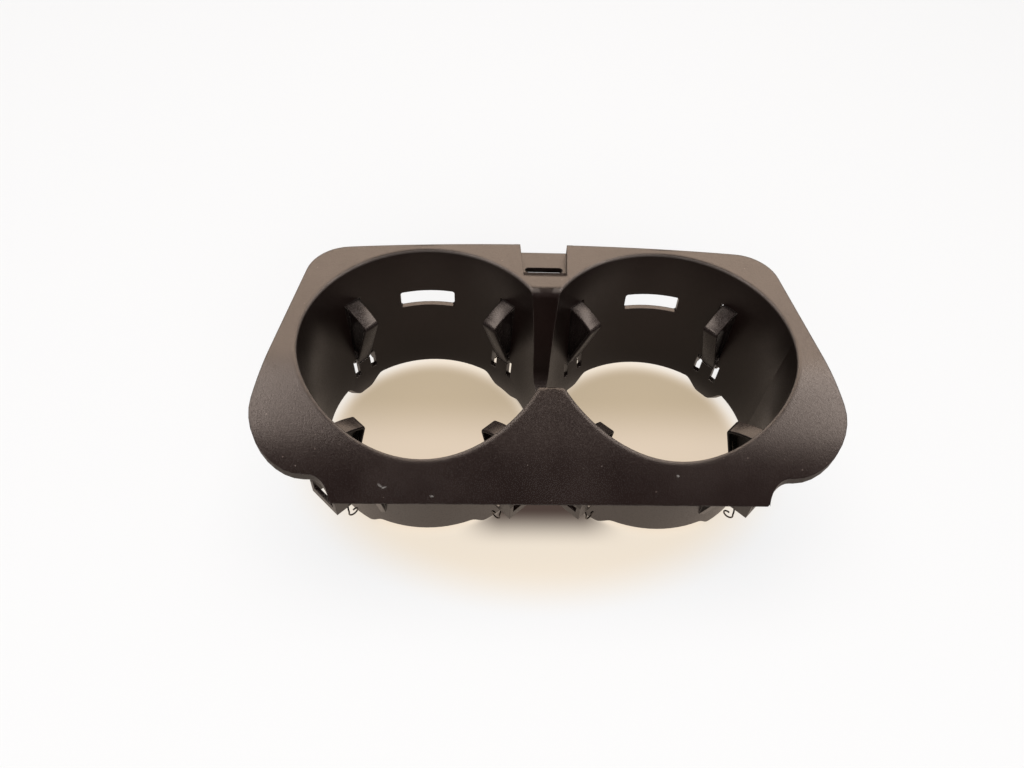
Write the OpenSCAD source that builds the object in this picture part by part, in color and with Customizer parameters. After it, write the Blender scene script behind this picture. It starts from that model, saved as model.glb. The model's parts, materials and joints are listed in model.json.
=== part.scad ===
// Twin cup holder insert for a car's centre console.
// One moulding carries a plate, two open tapered cups and eight pockets.
// Each pocket holds a sprung finger that swings on a pin to grip a cup.
// X runs across the car, Y runs away from the apron, Z is up.
// The origin is on the table, in the middle under the plate.

/* [Plate] */
// Height of the plate's flat top above the feet
total_h = 61; // [55:0.5:75]
// Thickness of the plate
plate_t = 2.2; // [1.8:0.1:3]
// Distance from the cups' axes to the back edge
back_reach = 46.2; // [45:0.1:56]
// How far the back edge falls away at its corners
back_bow = 4.3; // [2:0.1:8]
// Half the width between the back corners, before they are rounded
back_half_w = 82.5; // [78:0.5:92]
// Half the width between the front wing corners, before they are rounded
front_half_w = 97.4; // [92:0.5:108]
// Radius of the back corners
back_corner_r = 15; // [6:0.5:20]
// Radius of the front wing corners
front_corner_r = 17.5; // [8:0.5:20]
// Distance from the cups' axes to the line where the plate starts to bend
bend_start = 7.3; // [4:0.1:12]
// Radius of the bend, on the plate's top side
bend_r = 58.6; // [56:0.1:66]
// Height that the plate drops at the apron's front edge
apron_drop = 20.8; // [17:0.1:24]
// Half the width of the apron's front edge
apron_half_w = 69; // [60:0.5:76]
// How far the wings stop behind the apron's front edge
wing_setback = 6.4; // [4:0.1:9]
// Radius of the apron's two front corners
apron_corner_r = 1.3; // [0.5:0.1:3]

/* [Cups] */
// Distance between the cups' axes
cup_spacing = 81.8; // [80:0.1:84]
// Inside radius of a cup at the plate's top
cup_top_r = 42; // [41:0.1:43]
// Inside radius of a cup at its feet
cup_foot_r = 38.2; // [36:0.1:40]
// Thickness of the cups' walls
cup_wall = 2; // [1.6:0.1:2.6]
// Radius of the rounded rim where the plate turns into a cup
rim_r = 0.8; // [0.6:0.1:1.8]
// Height of the front and back arches between the feet
arch_h = 4.7; // [2:0.1:7]
// Height of the arch on each cup's outer side
outer_arch_h = 7.3; // [2:0.1:8]
// Height of the arch between the two cups
inner_arch_h = 2.5; // [1:0.1:5]
// Half the width of the front arch
front_arch_half_w = 15.5; // [10:0.5:18]
// Half the width of the back arch
back_arch_half_w = 20.7; // [12:0.1:21]
// Half the width of the arches on the cups' sides
side_arch_half_w = 18.5; // [10:0.5:18.5]
// Width of the curved step from an arch down to a foot
arch_step = 5.5; // [2:0.5:5.5]
// How far the back arches sit outward of the cups' axes
arch_shift = 1; // [0:0.1:1]

/* [Saddle between the cups] */
// Depth of the saddle's floor below the plate's top
saddle_drop = 38.5; // [30:0.5:42]
// Distance from the cups' axes to the saddle's back edge
saddle_back = 21.6; // [18:0.1:24]
// Distance from the cups' axes to the saddle's front edge
saddle_front = 20.4; // [18:0.1:24]
// Lean of the saddle's two ends
saddle_lean = 15.7; // [8:0.1:18]
// Radius between the saddle's ends and its floor
saddle_floor_r = 9; // [5:0.5:11]
// Radius of the saddle's back lip
saddle_back_lip_r = 3.5; // [1:0.1:4]
// Radius of the saddle's front lip
saddle_front_lip_r = 2; // [1:0.1:4]
// Thickness of the saddle's skin
saddle_t = 2.2; // [1.6:0.1:3]
// Width of the saddle, which fills the gap between the cups
saddle_w = 16; // [14:0.5:20]

/* [Back window] */
// Width of each back window
window_w = 20.5; // [14:0.5:24]
// Height of each back window
window_h = 7.3; // [5:0.1:9]
// Depth of a window's top edge below the plate's top
window_drop = 19; // [12:0.5:24]
// Radius of a window's corners
window_corner_r = 1; // [0.5:0.1:2]
// Turn of each window outward from straight back
window_turn = 3.4; // [0:0.1:6]

/* [Notch in the back edge] */
// Half the width of the notch at the back edge
notch_half_w = 8.7; // [7:0.1:9]
// How much narrower each side of the notch is at its front
notch_taper = 1.1; // [0:0.1:2]
// Depth of the notch's floor below the plate's top
notch_drop = 4; // [3:0.1:5]
// Thickness of the notch's floor and sides
notch_t = 2.2; // [1.6:0.1:3]
// Distance from the back edge to the front of the notch
notch_len = 17.8; // [14:0.1:19]
// Length of the curved ramp at the front of the notch
notch_ramp = 7.1; // [4:0.1:8]
// Length of the slit through the notch's floor
slit_len = 13.8; // [8:0.1:15]
// Width of the slit
slit_w = 2.5; // [1.5:0.1:3]

/* [Finger] */
// Height of the fingers' pivots above the feet
pivot_h = 15; // [14:0.1:17]
// Width of a finger
finger_w = 6; // [5:0.1:6.4]
// Distance that a finger's tip reaches in from its cup's wall
finger_reach = 10.8; // [8:0.1:13]
// Height of a finger's tip above its pivot
tip_rise = 26.9; // [24:0.1:28]
// Height of a finger's outer top edge above its pivot
top_rise = 31.4; // [29:0.1:31.5]
// Distance that a finger's outer top edge stands out past its pivot
top_reach = 0.2; // [0:0.1:0.4]
// Radius of a finger's tip
tip_r = 1.8; // [0.8:0.1:2.2]
// How far the top of a finger bulges above a straight line
top_bulge = 0.8; // [0.2:0.1:1]
// Thickness of a finger's skin around its side recesses
finger_skin = 1.2; // [1:0.1:1.4]
// Thickness of the web between a finger's side recesses
finger_web = 2; // [1.6:0.1:2.4]
// Radius of a finger's hub
hub_r = 2.2; // [2:0.1:2.4]
// How far a finger's stops stand out at each side
stop_side = 1.5; // [1.2:0.1:1.7]
// Height of a finger's stops
stop_h = 6; // [4:0.5:8]
// Height of the stops' upper ends above the pivot
stop_rise = 23.5; // [18:0.5:24]
// Thickness of a finger's stops
stop_t = 1.4; // [1:0.1:1.6]

/* [Finger pocket] */
// Angle of the outer pockets from the line through both cups
outer_turn = 45; // [42:0.5:47]
// Angle of the inner pockets from the line through both cups
inner_turn = 47; // [44:0.5:49]
// Width of the slot in the cup's wall
slot_w = 7.2; // [7:0.1:8]
// Width of the slot's two lower ears, taken together
ear_w = 10.4; // [10:0.1:10.6]
// Height of the slot's top above the finger's outer top edge
slot_over = 0.5; // [0.4:0.1:1.2]
// Height of the ears' tops above the pivot
ear_rise = 3.6; // [3.4:0.1:5]
// Depth of the ears below the pivot
ear_drop = 5.3; // [4:0.1:6]
// Width of the wall's tongue between the ears
tongue_w = 5.4; // [4:0.1:6]
// Height of the tongue's top above the pivot
tongue_rise = 0.7; // [0.4:0.1:1]
// Height of the cheeks' ribs above the slot
rib_over = 2; // [1:0.1:3]
// Distance between a pocket's two cheeks
cheek_gap = 10.6; // [10.4:0.1:11]
// Thickness of a cheek
cheek_t = 1.6; // [1.2:0.1:2]
// How far the cheeks reach out past the pivot
cheek_reach = 6.2; // [5.5:0.1:8]
// Depth of the cheeks below the pivot
cheek_drop = 2.8; // [2.6:0.1:3.4]
// Height of the cheeks' outer edge
cheek_edge_h = 6.8; // [4:0.1:8]
// How far the cheeks' upper ribs stand out from the wall
rib_reach = 2.2; // [1:0.1:3]
// Thickness of the bar that joins two cheeks
bar_t = 1.5; // [1:0.1:2]
// Height of the bar
bar_h = 3.2; // [2:0.1:5]
// Radius of a pivot pin
pin_r = 1.2; // [1:0.05:1.3]
// Length of pin that shows past each cheek
pin_proud = 0.3; // [0.1:0.1:1]

/* [Spring] */
// Diameter of the spring wire
wire_d = 0.6; // [0.5:0.05:0.65]
// Radius of the coil, to the middle of the wire
coil_r = 2; // [1.9:0.05:2.1]
// Length of the leg that pushes the finger
leg_len = 25; // [18:0.5:26]
// Radius of the eye that hooks under the cheek
eye_r = 1.7; // [1.2:0.1:2]
// Depth of the eye's middle below the pivot
eye_drop = 6; // [5:0.5:7]

/* [Gussets] */
// Distance of each gusset outward from its cup's axis
gusset_x = 14.7; // [10:0.1:16]
// Thickness of a gusset
gusset_t = 1.6; // [1.2:0.1:2]
// Height of a gusset's lower end above the feet
gusset_low = 12.5; // [11:0.5:20]

/* [Hidden] */
// Clearances, and how far pieces of the moulding reach into each other
hub_gap = 0.3;
tongue_gap = 0.3;
stop_gap = 0.3;
pin_running_gap = 0.06;
pin_held_gap = 0.02;
coil_gap = 0.1;
front_trim = 0.1;
rim_lift = 0.015;
bite = 0.6;
past = 1;
corner_ease = 0.1;

// Smoothness of round parts
$fn = 96;
arc_steps = 10;
rim_steps = 96;
rim_facets = 4;
arch_facets = 6;
bulge_facets = 6;
wire_sides = 6;
coil_steps = 14;

// Places that follow from the driving dimensions
cup_x = cup_spacing / 2;
front_reach = bend_start + sqrt(bend_r * bend_r - pow(bend_r - apron_drop, 2));
cup_y = (front_reach - back_reach) / 2;
bend_z = total_h - bend_r;
cup_slope = (cup_top_r - cup_foot_r) / total_h;
corner_y = back_reach - back_bow;
back_edge_r = (pow(back_half_w, 2) + pow(back_bow, 2)) / (2 * back_bow);
wing_y = wing_setback - front_reach;
pivot_r = outer_r(pivot_h) + hub_r + hub_gap;
cheek_r = pivot_r + cheek_reach;
cheek_low = pivot_h - cheek_drop;
slot_top = pivot_h + top_rise + slot_over;
tongue_top = pivot_h + tongue_rise;
finger_heel = [inner_r(tongue_top), tongue_top + tongue_gap];
finger_tip = [inner_r(pivot_h + tip_rise) - finger_reach, pivot_h + tip_rise];
finger_top = [pivot_r + top_reach, pivot_h + top_rise];
coil_t0 = finger_w / 2 + coil_gap + wire_d / 2;
coil_t1 = cheek_gap / 2 - coil_gap - wire_d / 2;

// Each pocket: name, cup side, back or front, outer or inner
POCKETS = [for (s = [-1, 1], b = [1, -1], o = [1, -1])
    [str(s < 0 ? "left_" : "right_", b > 0 ? "back_" : "front_", o > 0 ? "outer" : "inner"), s, b, o]];

plastic = "#2e2a28";
finger_plastic = "#3a3634";
steel = "#9a958e";

// Inside and outside radius of a cup's wall at height z
function inner_r(z) = cup_foot_r + cup_slope * z;
function outer_r(z) = inner_r(z) + cup_wall;

// Height of the plate's top at distance y from the cups' axes
function top_z(y) = y > -bend_start ? total_h : bend_z + sqrt(pow(bend_r, 2) - pow(y + bend_start, 2));

function unit(v) = v / norm(v);

// Points of a circular arc
function arc(centre, r, from, to, steps = arc_steps) =
    [for (i = [0:steps]) centre + r * [cos(from + (to - from) * i / steps), sin(from + (to - from) * i / steps)]];

// The turn from angle a to angle b, the short way
function short_turn(a, b) = let (d = b - a) d > 180 ? d - 360 : (d < -180 ? d + 360 : d);

// The corner b between a and c, rounded to radius r
function corner(a, b, c, r) = r == 0 ? [b] :
    let (u = unit(a - b), v = unit(c - b), half = acos(u * v) / 2,
         centre = b + unit(u + v) * r / sin(half),
         p = b + u * r / tan(half) - centre, q = b + v * r / tan(half) - centre,
         from = atan2(p[1], p[0]), turn = short_turn(from, atan2(q[1], q[0])))
    arc(centre, r, from, from + turn);

// Where the lines through p along u and through q along v meet
function meet(p, u, q, v) = p + u * ((q - p) * [v[1], -v[0]]) / (u * [v[1], -v[0]]);

// A convex outline moved inward by d
function inset(pts, d) = let (n = len(pts),
    dirs = [for (i = [0:n - 1]) unit(pts[(i + 1) % n] - pts[i])],
    starts = [for (i = [0:n - 1]) pts[i] + d * [dirs[i][1], -dirs[i][0]]])
    [for (i = [0:n - 1]) meet(starts[(i + n - 1) % n], dirs[(i + n - 1) % n], starts[i], dirs[i])];

// Draws a profile given in Y and Z, w wide along X
module across(w) {
    rotate([90, 0, 90])
        linear_extrude(w, center = true)
            children();
}

// Draws a profile given in X and Z, w wide along Y
module along(w) {
    rotate([90, 0, 0])
        linear_extrude(w, center = true)
            children();
}

// Everything below the plate's top surface moved down by d
module under_top_2d(d) {
    translate([-bend_start, -past])
        square([back_reach + bend_start + past, total_h - d + past]);
    translate([-bend_start, bend_z])
        circle(bend_r - d);
}

// The plate's outline seen from above, right half first
module outline_2d() {
    edge = [for (i = [0:arc_steps]) let (x = (back_half_w - back_corner_r) * i / arc_steps)
        [x, back_reach - back_edge_r + sqrt(pow(back_edge_r, 2) - x * x)]];
    back = [back_half_w, corner_y];
    wing = [front_half_w, wing_y];
    cove = [apron_half_w, wing_y];
    front = [apron_half_w, -front_reach - front_trim];
    half = concat(edge,
        corner(edge[arc_steps], back, wing, back_corner_r),
        corner(back, wing, cove, front_corner_r),
        corner(wing, cove, front, wing_setback - front_trim),
        corner(cove, front, [0, front[1]], apron_corner_r));
    polygon(concat(half, [for (i = [len(half) - 1:-1:1]) [-half[i][0], half[i][1]]]));
}

// The plate with its bent apron, before the cups are opened
module plate() {
    intersection() {
        linear_extrude(total_h + past)
            outline_2d();
        across(2 * front_half_w)
            difference() {
                under_top_2d(0);
                under_top_2d(plate_t);
                translate([-front_reach - past, -past])
                    square([front_reach + back_reach + 2 * past, total_h - apron_drop + past]);
            }
    }
}

// The saddle's section moved outward by d, open at the top
function saddle_end(reach, d) = let (
    side = reach + d / cos(saddle_lean),
    floor_z = total_h - saddle_drop - d,
    r = saddle_floor_r + d,
    centre_y = side - (total_h - floor_z - r) * tan(saddle_lean) - r / cos(saddle_lean))
    arc([centre_y, floor_z + r], r, -90, -saddle_lean);

function saddle_lip(reach, lip, edge_z) = let (
    centre_y = reach - (total_h - edge_z + lip) * tan(saddle_lean) + lip / cos(saddle_lean))
    concat(arc([centre_y, edge_z - lip], lip, 180 - saddle_lean, 90), [[centre_y, total_h + past]]);

function mirrored(pts) = [for (i = [len(pts) - 1:-1:0]) [-pts[i][0], pts[i][1]]];

module saddle_cut_2d() {
    front_edge_z = top_z(-saddle_front);
    polygon(concat(
        saddle_end(saddle_back, 0),
        saddle_lip(saddle_back, saddle_back_lip_r, total_h),
        mirrored(saddle_lip(saddle_front, saddle_front_lip_r, front_edge_z)),
        mirrored(saddle_end(saddle_front, 0))));
}

module saddle_skin_2d() {
    polygon(concat(
        saddle_end(saddle_back, saddle_t),
        [[saddle_back + saddle_t / cos(saddle_lean), total_h]],
        [[-saddle_front - saddle_t / cos(saddle_lean), total_h]],
        mirrored(saddle_end(saddle_front, saddle_t))));
}

// The sunk notch's walls, and what is cut out of them
module notch_walls() {
    w = notch_half_w + notch_t;
    translate([-w, back_reach - notch_len - notch_t, total_h - notch_drop - notch_t])
        cube([2 * w, notch_len + notch_t, notch_drop + notch_t]);
}

module notch_cut() {
    front = back_reach - notch_len;
    floor_z = total_h - notch_drop;
    ramp = [for (i = [0:arc_steps]) let (u = i / arc_steps)
        [front + notch_ramp * u, total_h - notch_drop * (1 - cos(90 * u))]];
    intersection() {
        across(2 * notch_half_w)
            polygon(concat([[front, total_h + past]], ramp,
                [[back_reach + past, floor_z], [back_reach + past, total_h + past]]));
        linear_extrude(total_h + past)
            polygon([[-notch_half_w, back_reach + past], [notch_half_w, back_reach + past],
                [notch_half_w - notch_taper, front - past], [notch_taper - notch_half_w, front - past]]);
    }
    translate([0, front + notch_ramp + slit_w / 2, 0])
        linear_extrude(total_h) {
            square([slit_len - slit_w, slit_w], center = true);
            for (s = [-1, 1])
                translate([s * (slit_len - slit_w) / 2, 0])
                    circle(slit_w / 2);
        }
}

// A cone from below the feet to above the plate, d outside the cup's inner wall
module cup_cone(d) {
    translate([0, 0, -past])
        cylinder(h = total_h + 2 * past, r1 = inner_r(-past) + d, r2 = inner_r(total_h + past) + d);
}

// Height of a cup's rim at angle a, found by stepping onto the bent plate
function rim_z(a, steps = 5, z = total_h) = steps == 0 ? z :
    rim_z(a, steps - 1, top_z(inner_r(z) * sin(a)));

// Upward normal of the plate's top at distance y from the cups' axes
function top_normal(y) = y > -bend_start ? [0, 0, 1] : unit([0, y + bend_start, top_z(y) - bend_z]);

// Section of the rim's round at angle a: an arc from the plate to the wall, closed outside the corner
function rim_section(a) = let (
    z = rim_z(a),
    edge = [inner_r(z) * cos(a), inner_r(z) * sin(a), z],
    top = top_normal(edge[1]),
    wall = unit([-cos(a), -sin(a), cup_slope]),
    turn = acos(top * wall),
    centre = edge + (rim_lift - rim_r / (1 + top * wall)) * (top + wall))
    concat([edge + top + wall],
        [for (k = [0:rim_facets]) let (u = k / rim_facets)
            centre + rim_r * (sin((1 - u) * turn) * top + sin(u * turn) * wall) / sin(turn)]);

// What is cut away along a cup's rim to round it
module rim_cut() {
    m = rim_facets + 2;
    n = rim_steps;
    polyhedron(
        points = [for (i = [0:n - 1]) each rim_section(360 * i / n)],
        faces = concat(
            [for (i = [0:n - 1], k = [0:m - 1]) let (j = (i + 1) % n, l = (k + 1) % m)
                [i * m + k, j * m + l, i * m + l]],
            [for (i = [0:n - 1], k = [0:m - 1]) let (j = (i + 1) % n, l = (k + 1) % m)
                [i * m + k, j * m + k, j * m + l]]));
}

// Arch between two feet, half_w from its middle to the top of its step
module arch_cut(half_w, h) {
    step = [for (i = [0:arch_facets]) let (u = i / arch_facets)
        [half_w + arch_step * (1 - u), h * (1 - cos(180 * u)) / 2]];
    rotate([90, 0, 0])
        linear_extrude(cup_top_r + cup_wall + past)
            polygon(concat([[half_w + arch_step, -2 * past]], step, mirrored(step),
                [[-half_w - arch_step, -2 * past]]));
}

module arches(side) {
    arch_cut(front_arch_half_w, arch_h);
    translate([side * arch_shift, 0, 0])
        rotate([0, 0, 180])
            arch_cut(back_arch_half_w, arch_h);
    rotate([0, 0, 90 * side])
        arch_cut(side_arch_half_w, outer_arch_h);
    rotate([0, 0, -90 * side])
        arch_cut(side_arch_half_w, inner_arch_h);
}

module window_cut(side) {
    w = window_w - 2 * window_corner_r;
    h = window_h - 2 * window_corner_r;
    rotate([0, 0, -side * window_turn])
        translate([0, cup_foot_r - past, total_h - window_drop - window_h / 2])
            rotate([-90, 0, 0])
                linear_extrude(cup_top_r - cup_foot_r + cup_wall + 2 * past) {
                    square([w, window_h], center = true);
                    square([window_w, h], center = true);
                    for (x = [-w / 2, w / 2], z = [-h / 2, h / 2])
                        translate([x, z])
                            circle(window_corner_r);
                }
}

// Puts a piece in its pocket: X points out from the cup's axis
module in_pocket(p) {
    turn = p[3] > 0 ? outer_turn : inner_turn;
    translate([p[1] * cup_x, cup_y, 0])
        rotate([0, 0, atan2(p[2] * sin(turn), p[1] * p[3] * cos(turn))])
            mirror([0, p[1] * p[2] * p[3] < 0 ? 1 : 0, 0])
                children();
}

// Two cheeks with ribs up the slot's sides, and the bar that joins them
module pocket_walls() {
    rib_top = slot_top + rib_over;
    profile = [[inner_r(cheek_low) + bite, cheek_low], [cheek_r, cheek_low],
        [cheek_r, cheek_low + cheek_edge_h],
        [outer_r(slot_top / 2 + cheek_low) + rib_reach, slot_top / 2 + cheek_low],
        [outer_r(rib_top) + rib_reach, rib_top],
        [inner_r(rib_top) + bite, rib_top]];
    for (s = [-1, 1])
        translate([0, s * (cheek_gap + cheek_t) / 2, 0])
            along(cheek_t)
                polygon(profile);
    translate([cheek_r - bar_t, -cheek_gap / 2 - cheek_t, cheek_low])
        cube([bar_t, cheek_gap + 2 * cheek_t, bar_h]);
}

// The slot for the finger, its two lower ears and the pin's bores
module pocket_cuts() {
    wall = cup_foot_r - past;
    depth = cup_top_r - cup_foot_r + cup_wall + rib_reach + 2 * past;
    side_w = (ear_w - tongue_w) / 2;
    translate([wall, -slot_w / 2, tongue_top])
        cube([depth, slot_w, slot_top - tongue_top]);
    translate([wall, -ear_w / 2, tongue_top])
        cube([depth, ear_w, pivot_h + ear_rise - tongue_top]);
    for (s = [-1, 1])
        translate([wall, s * (tongue_w + side_w) / 2 - side_w / 2, pivot_h - ear_drop])
            cube([depth, side_w, ear_drop + ear_rise]);
    translate([pivot_r, 0, pivot_h])
        rotate([90, 0, 0])
            cylinder(h = cheek_gap + 4 * cheek_t, r = pin_r + pin_held_gap, center = true);
}

// Rib under the apron, in front of each cup
module gusset(side) {
    wall_y = -sqrt(pow(outer_r(gusset_low), 2) - pow(gusset_x, 2));
    high = total_h - apron_drop;
    translate([side * (cup_x + gusset_x), 0, 0])
        across(gusset_t)
            polygon([[wall_y + bite, gusset_low], [wall_y - bite, gusset_low],
                [plate_t + bite - front_reach, high + bite], [wall_y + bite, total_h - 2 * plate_t]]);
}

module housing() {
    color(plastic)
    translate([0, cup_y, 0])
    difference() {
        intersection() {
            union() {
                plate();
                notch_walls();
                for (s = [-1, 1])
                    translate([s * cup_x, 0, 0])
                        cup_cone(cup_wall);
                across(saddle_w)
                    saddle_skin_2d();
                for (s = [-1, 1])
                    gusset(s);
                translate([0, -cup_y, 0])
                    for (p = POCKETS)
                        in_pocket(p)
                            pocket_walls();
            }
            across(2 * (front_half_w + past))
                intersection() {
                    under_top_2d(0);
                    translate([-front_reach - past, 0])
                        square([front_reach + back_reach + 2 * past, total_h]);
                }
        }
        for (s = [-1, 1])
            translate([s * cup_x, 0, 0]) {
                cup_cone(0);
                rim_cut();
                arches(s);
                window_cut(s);
            }
        across(saddle_w)
            saddle_cut_2d();
        notch_cut();
        translate([0, -cup_y, 0])
            for (p = POCKETS)
                in_pocket(p)
                    pocket_cuts();
    }
}

// Top of a finger: an arc that bulges above the straight line
function bulged(a, b, rise) = let (half = norm(b - a) / 2, r = (half * half + rise * rise) / (2 * rise),
    mid = (a + b) / 2, up = unit([a[1] - b[1], b[0] - a[0]]), centre = mid - up * (r - rise),
    spread = asin(half / r), to = atan2(up[1], up[0]))
    arc(centre, r, to + spread, to - spread, bulge_facets);

module finger() {
    hub = [pivot_r, pivot_h];
    rear = [pivot_r + hub_r, pivot_h];
    under = [pivot_r - hub_r + corner_ease, finger_heel[1]];
    tip = corner(finger_heel, finger_tip, finger_top, tip_r);
    top = bulged(tip[arc_steps], finger_top, top_bulge);
    low = pivot_h + hub_r + finger_skin / 2;
    up = unit(finger_tip - finger_heel);
    recess = inset([meet(finger_heel, up, [0, low - finger_skin], [1, 0]), finger_tip, finger_top,
        [rear[0], low - finger_skin]], finger_skin);
    color(finger_plastic)
    difference() {
        union() {
            along(finger_w)
                union() {
                    polygon(concat([finger_heel], tip, top, [rear, hub, under]));
                    translate(hub)
                        circle(hub_r);
                }
            translate([outer_r(pivot_h + stop_rise) + stop_gap, -finger_w / 2 - stop_side,
                pivot_h + stop_rise - stop_h])
                cube([stop_t, finger_w + 2 * stop_side, stop_h]);
        }
        for (s = [-1, 1])
            translate([0, s * (finger_w + finger_web) / 4 + s * past / 2, 0])
                along((finger_w - finger_web) / 2 + past)
                    polygon(recess);
        translate([pivot_r, 0, pivot_h])
            rotate([90, 0, 0])
                cylinder(h = finger_w + 2 * past, r = pin_r + pin_running_gap, center = true);
    }
}

module pin() {
    color(steel)
        translate([pivot_r, 0, pivot_h])
            rotate([90, 0, 0])
                cylinder(h = cheek_gap + 2 * cheek_t + 2 * pin_proud, r = pin_r, center = true);
}

// The spring's wire: a leg inside the finger's recess, a coil round the pin,
// and a tail that hooks under the cheek and ends in an eye
leg_dir = unit(finger_tip - finger_heel);
leg_angle = 180 + atan2(leg_dir[1], leg_dir[0]) - 90;
leg_rise = (ear_rise + 1.1) / leg_dir[1];
leg_t = finger_web / 2 + 1.3;
leg_jog = 3;
tail_angle = 225;
coil_turn = 720 + tail_angle - leg_angle;
coil_points_n = round(coil_turn / 360 * coil_steps);
tail_reach = 3;
eye_centre = [pivot_r + 0.4, pivot_h - eye_drop];
eye_t = cheek_gap / 2 + cheek_t + 0.6;
eye_start = 30;
eye_turn = 22;
eye_steps = 14;
eye_pitch = 0.05;

function in_plane(p, t) = [p[0], t, p[1]];
function coil_point(a) = [pivot_r, pivot_h] + coil_r * [cos(a), sin(a)];

// A point of the leg at distance l past the coil
function leg_point(l) = in_plane(coil_point(leg_angle) + l * leg_dir,
    coil_t0 + (leg_t - coil_t0) * min(1, max(0, (l - leg_rise) / leg_jog)));

// A point of the tail at share u of its length, at t along the pivot
function tail_point(u, t) = in_plane(coil_point(tail_angle) + tail_reach * u * [1, -1], t);

leg_points = concat([leg_point(leg_len), leg_point(leg_len * 0.7)],
    [for (u = [1.1, 0.8, 0.3, 0]) leg_point(leg_rise + leg_jog * u)]);
coil_points = [for (i = [0:coil_points_n]) let (u = i / coil_points_n)
    in_plane(coil_point(leg_angle + coil_turn * u), coil_t0 + (coil_t1 - coil_t0) * u)];
tail_points = [tail_point(0.4, coil_t1), tail_point(0.62, coil_t1 + 0.3),
    tail_point(0.85, coil_t1 + 1.2), tail_point(1, eye_t - 0.6)];
eye_points = [for (i = [0:eye_steps]) let (a = eye_start - eye_turn * i)
    in_plane(eye_centre + eye_r * [cos(a), sin(a)], eye_t + eye_pitch * i)];
wire_points = concat(leg_points, coil_points, tail_points, eye_points);

// A ring of points around the wire at each point of its path
function wire_ring(pts, i) = let (n = len(pts),
    forward = unit(pts[min(i + 1, n - 1)] - pts[max(i - 1, 0)]),
    side = unit(cross([0, 1, 0], forward)),
    up = cross(forward, side))
    [for (k = [0:wire_sides - 1]) let (a = 360 * k / wire_sides)
        pts[i] + wire_d / 2 * (side * cos(a) + up * sin(a))];

module wire(pts) {
    n = len(pts);
    m = wire_sides;
    polyhedron(
        points = [for (i = [0:n - 1]) each wire_ring(pts, i)],
        faces = concat(
            [[for (k = [0:m - 1]) m - 1 - k]],
            [for (i = [0:n - 2], k = [0:m - 1]) [i * m + k, i * m + (k + 1) % m, (i + 1) * m + (k + 1) % m]],
            [for (i = [0:n - 2], k = [0:m - 1]) [i * m + k, (i + 1) * m + (k + 1) % m, (i + 1) * m + k]],
            [[for (k = [0:m - 1]) (n - 1) * m + k]]));
}

module spring() {
    color(steel)
        wire(wire_points);
}

housing();
for (p = POCKETS) {
    in_pocket(p) finger();
    in_pocket(p) pin();
    in_pocket(p) spring();
}
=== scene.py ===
"""Visual model of a twin cup holder insert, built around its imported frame.

Laid out as an add-on: the sizes and finishes are properties, each group of pieces has an operator,
and one panel lists them. All places are in the frame of the part, in metres, with Z up.
"""

import json
import math

import bmesh
import bpy
from bpy.props import FloatProperty, FloatVectorProperty, PointerProperty
from mathutils import Matrix, Vector


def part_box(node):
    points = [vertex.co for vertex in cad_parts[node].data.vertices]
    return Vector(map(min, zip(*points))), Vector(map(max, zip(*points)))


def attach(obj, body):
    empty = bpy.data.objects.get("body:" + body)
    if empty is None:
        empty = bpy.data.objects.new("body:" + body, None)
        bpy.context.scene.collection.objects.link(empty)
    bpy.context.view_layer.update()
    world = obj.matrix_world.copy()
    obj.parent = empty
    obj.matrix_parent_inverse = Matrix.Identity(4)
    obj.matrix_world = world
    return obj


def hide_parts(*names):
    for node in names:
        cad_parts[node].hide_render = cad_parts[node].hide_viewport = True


bl_info = {
    "name": "Twin Cup Holder Insert",
    "version": (1, 0, 0),
    "blender": (4, 5, 0),
    "location": "View3D > Sidebar > Cup Holder",
    "description": "Builds a moulded twin cup holder with sprung fingers around its frame",
    "category": "Object",
}

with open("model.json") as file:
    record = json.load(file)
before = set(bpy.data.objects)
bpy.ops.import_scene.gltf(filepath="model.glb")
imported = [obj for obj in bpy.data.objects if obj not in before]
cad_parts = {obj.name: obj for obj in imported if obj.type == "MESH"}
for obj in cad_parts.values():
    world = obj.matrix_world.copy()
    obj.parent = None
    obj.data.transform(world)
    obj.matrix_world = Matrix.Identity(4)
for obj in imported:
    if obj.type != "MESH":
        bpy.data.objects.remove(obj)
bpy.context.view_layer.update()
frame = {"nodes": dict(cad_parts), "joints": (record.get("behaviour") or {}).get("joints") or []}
MM = 0.001

# Forms of the moulding that its finish follows, from the part's source
CUP_AXIS = (0.0409, 0.00294, 0)
CUP_FOOT_RADIUS = 0.0382
CUP_TAPER = 0.0623
BEND_CENTRE_Y = -0.00436
BEND_CENTRE_Z = 0.0024
BEND_RADIUS = 0.0586


def pocket_list():
    """Name, swing joint, and which way each of the eight pockets faces."""
    found = []
    for joint in frame["joints"]:
        name = joint["child"].removeprefix("finger_")
        side = -1 if "left" in name else 1
        back = 1 if "back" in name else -1
        outer = 1 if "outer" in name else -1
        found.append({"name": name, "joint": joint, "hand": side * back * outer})
    return found


POCKETS = pocket_list()


def pocket_matrix(pocket):
    """From a pocket's own axes to the part's: X out from the cup, Y to the spring's side, Z up.
    The origin is where the pin's axis crosses the middle of the finger."""
    axis = Vector(pocket["joint"]["axis"]).normalized()
    out = axis.cross(Vector((0, 0, 1)))
    across = axis * pocket["hand"]
    matrix = Matrix((out, across, Vector((0, 0, 1)))).transposed().to_4x4()
    matrix.translation = Vector(pocket["joint"]["pos_m"])
    return matrix


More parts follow.
